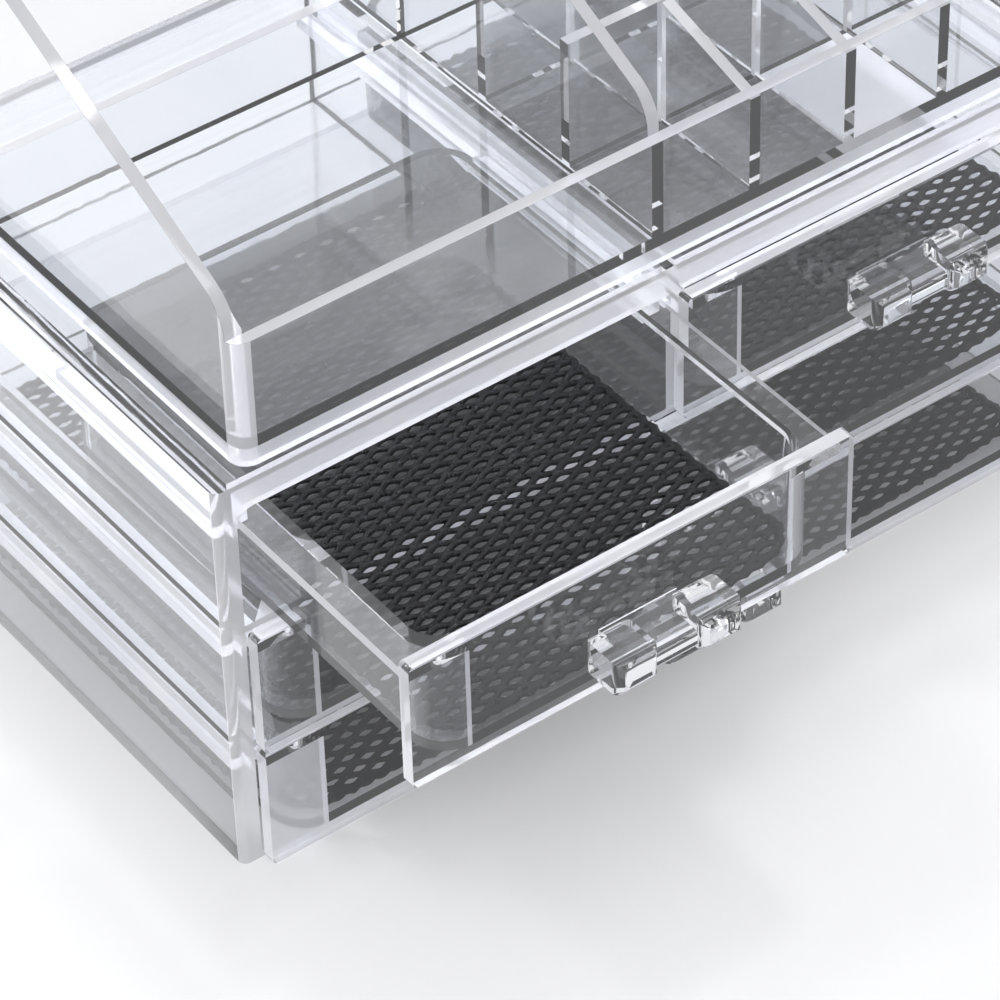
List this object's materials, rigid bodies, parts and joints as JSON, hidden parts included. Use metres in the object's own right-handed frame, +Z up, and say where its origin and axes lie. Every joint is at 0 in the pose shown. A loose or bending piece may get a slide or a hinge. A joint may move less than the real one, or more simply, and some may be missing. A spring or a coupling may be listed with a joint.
{
  "type": "makeup organizer with drawers",
  "caption": "Clear acrylic case with small drawers side by side over wide ones, black mesh liners, and a lift-off tray with sloping sides and lipstick slots on top.",
  "frame": {"origin": "centre of the case's bottom face, which stands on the table", "axes": "+X to the right as the drawers are faced, -Y out of the drawer fronts, +Z up"},
  "size_m": [0.238, 0.2122, 0.1845],
  "materials": {
    "clear_acrylic": "polished, clear",
    "black_mesh": "black shiny diamond mesh"
  },
  "bodies": {
    "case": {"case_left_side": "clear_acrylic", "case_right_side": "clear_acrylic", "case_top": "clear_acrylic", "case_base": "clear_acrylic", "case_back": "clear_acrylic", "shelf_lower": "clear_acrylic", "shelf_upper": "clear_acrylic", "centre_divider": "clear_acrylic", "left_runners": "clear_acrylic", "right_runners": "clear_acrylic", "divider_runners": "clear_acrylic"},
    "top_left_drawer": {"top_left_box": "clear_acrylic", "top_left_front": "clear_acrylic", "top_left_knob": "clear_acrylic", "top_left_liner": "black_mesh"},
    "top_right_drawer": {"top_right_box": "clear_acrylic", "top_right_front": "clear_acrylic", "top_right_knob": "clear_acrylic", "top_right_liner": "black_mesh"},
    "middle_drawer": {"middle_box": "clear_acrylic", "middle_front": "clear_acrylic", "middle_knob": "clear_acrylic", "middle_liner": "black_mesh"},
    "bottom_drawer": {"bottom_box": "clear_acrylic", "bottom_front": "clear_acrylic", "bottom_knob": "clear_acrylic", "bottom_liner": "black_mesh"},
    "tray": {"tray_body": "clear_acrylic", "tray_main_divider": "clear_acrylic", "tray_cross_divider": "clear_acrylic", "tray_slot_dividers": "clear_acrylic", "tray_slot_rows": "clear_acrylic"}
  },
  "joints": [
    {"name": "top_left_slide", "type": "slide", "parent": "case", "child": "top_left_drawer", "axis": [0, -1, 0], "range_m": [-0.055, 0.035]},
    {"name": "top_right_slide", "type": "slide", "parent": "case", "child": "top_right_drawer", "axis": [0, -1, 0], "range_m": [0, 0.09]},
    {"name": "middle_slide", "type": "slide", "parent": "case", "child": "middle_drawer", "axis": [0, -1, 0], "range_m": [0, 0.09]},
    {"name": "bottom_slide", "type": "slide", "parent": "case", "child": "bottom_drawer", "axis": [0, -1, 0], "range_m": [0, 0.09]},
    {"name": "tray_lift", "type": "slide", "parent": "case", "child": "tray", "axis": [0, 0, 1], "range_m": [0, 0.12]}
  ]
}
